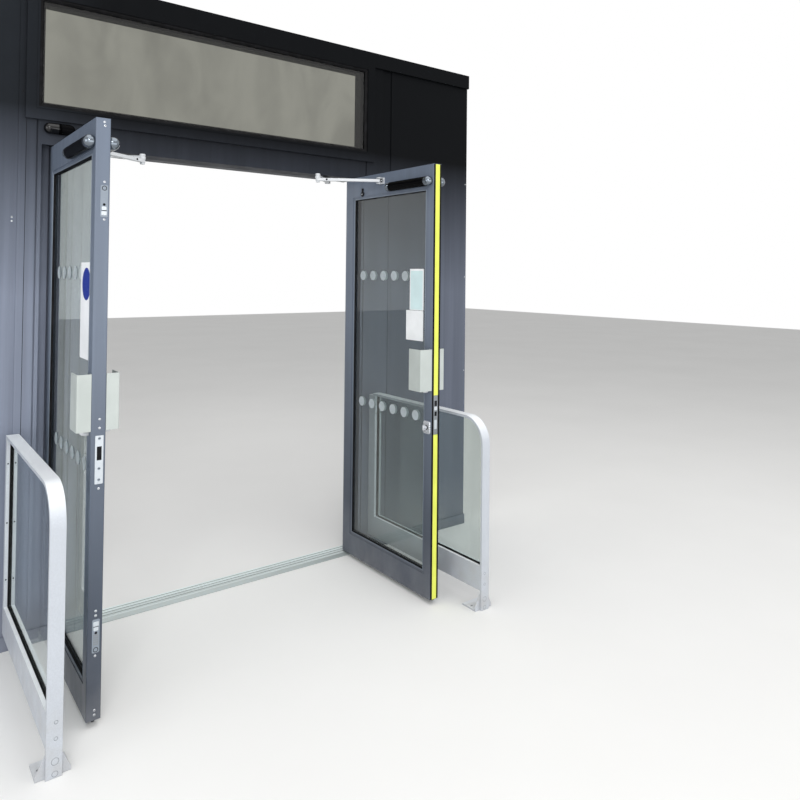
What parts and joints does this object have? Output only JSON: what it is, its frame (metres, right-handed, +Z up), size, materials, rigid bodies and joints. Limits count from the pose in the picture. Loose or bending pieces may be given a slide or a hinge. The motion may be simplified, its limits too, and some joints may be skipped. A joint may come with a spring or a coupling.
{
  "type": "automatic swing door",
  "caption": "Double automatic swing door standing open, glazed leaves with push arms, transom light, side panels and glazed guard barriers.",
  "frame": {"origin": "on the ground, in the middle of the doorway, on the outer face of the door frame", "axes": "+X along the facade to the right seen from outside, +Y into the building, +Z up"},
  "size_m": [3.3, 1.156, 2.88],
  "materials": {
    "frame_paint": "satin",
    "leaf_paint": "satin",
    "housing_paint": "satin",
    "glass": "gloss",
    "threshold_metal": "satin",
    "barrier_metal": "satin",
    "sensor_black": "gloss",
    "gasket_black": "matte",
    "cover_white": "matte",
    "arm_white": "satin",
    "strip_yellow": "matte"
  },
  "bodies": {
    "doorset": {"header": "frame_paint", "head_rail": "frame_paint", "transom_frame": "frame_paint", "transom_gasket": "gasket_black", "transom_glass": "glass", "threshold": "threshold_metal", "operator_housing": "housing_paint", "header_sensor": "sensor_black", "jamb_left": "frame_paint", "cladding_left": "frame_paint", "barrier_hoop_left": "barrier_metal", "barrier_upright_left": "barrier_metal", "barrier_kick_left": "barrier_metal", "barrier_glass_left": "glass", "jamb_right": "frame_paint", "cladding_right": "frame_paint", "barrier_hoop_right": "barrier_metal", "barrier_upright_right": "barrier_metal", "barrier_kick_right": "barrier_metal", "barrier_glass_right": "glass"},
    "leaf_left": {"hinge_stile_left": "leaf_paint", "lock_stile_left": "leaf_paint", "top_rail_left": "leaf_paint", "bottom_rail_left": "leaf_paint", "leaf_glass_left": "glass", "sensor_outer_left": "sensor_black", "sensor_inner_left": "sensor_black", "handle_cover_outer_left": "cover_white", "handle_cover_inner_left": "cover_white", "arm_shoe_left": "arm_white"},
    "leaf_right": {"hinge_stile_right": "leaf_paint", "lock_stile_right": "leaf_paint", "top_rail_right": "leaf_paint", "bottom_rail_right": "leaf_paint", "leaf_glass_right": "glass", "sensor_outer_right": "sensor_black", "sensor_inner_right": "sensor_black", "handle_cover_outer_right": "cover_white", "handle_cover_inner_right": "cover_white", "arm_shoe_right": "arm_white", "edge_strip_right": "strip_yellow"},
    "operator_arm_left": {"main_arm_left": "arm_white"},
    "forearm_left": {"forearm_left": "arm_white"},
    "operator_arm_right": {"main_arm_right": "arm_white"},
    "forearm_right": {"forearm_right": "arm_white"}
  },
  "joints": [
    {"name": "leaf_swing_left", "type": "hinge", "parent": "doorset", "child": "leaf_left", "pos_m": [-0.774, 0.028, 0], "axis": [0, 0, 1], "range_deg": [0, 90]},
    {"name": "operator_arm_turn_left", "type": "hinge", "parent": "doorset", "child": "operator_arm_left", "pos_m": [-0.7, 0.165, 2.125], "axis": [0, 0, 1], "range_deg": [0, 88]},
    {"name": "forearm_turn_left", "type": "hinge", "parent": "operator_arm_left", "child": "forearm_left", "pos_m": [-0.455, -0.138, 2.087], "axis": [0, 0, 1], "range_deg": [-39, 0]},
    {"name": "leaf_swing_right", "type": "hinge", "parent": "doorset", "child": "leaf_right", "pos_m": [0.774, 0.028, 0], "axis": [0, 0, -1], "range_deg": [0, 90]},
    {"name": "operator_arm_turn_right", "type": "hinge", "parent": "doorset", "child": "operator_arm_right", "pos_m": [0.7, 0.165, 2.125], "axis": [0, 0, -1], "range_deg": [0, 88]},
    {"name": "forearm_turn_right", "type": "hinge", "parent": "operator_arm_right", "child": "forearm_right", "pos_m": [0.455, -0.138, 2.087], "axis": [0, 0, -1], "range_deg": [-39, 0]}
  ],
  "couplings": [
    {"joint": "operator_arm_turn_left", "follows": "leaf_swing_left", "ratio": 0.9689},
    {"joint": "forearm_turn_left", "follows": "leaf_swing_left", "ratio": -0.4269},
    {"joint": "operator_arm_turn_right", "follows": "leaf_swing_right", "ratio": 0.9689},
    {"joint": "forearm_turn_right", "follows": "leaf_swing_right", "ratio": -0.4269}
  ]
}
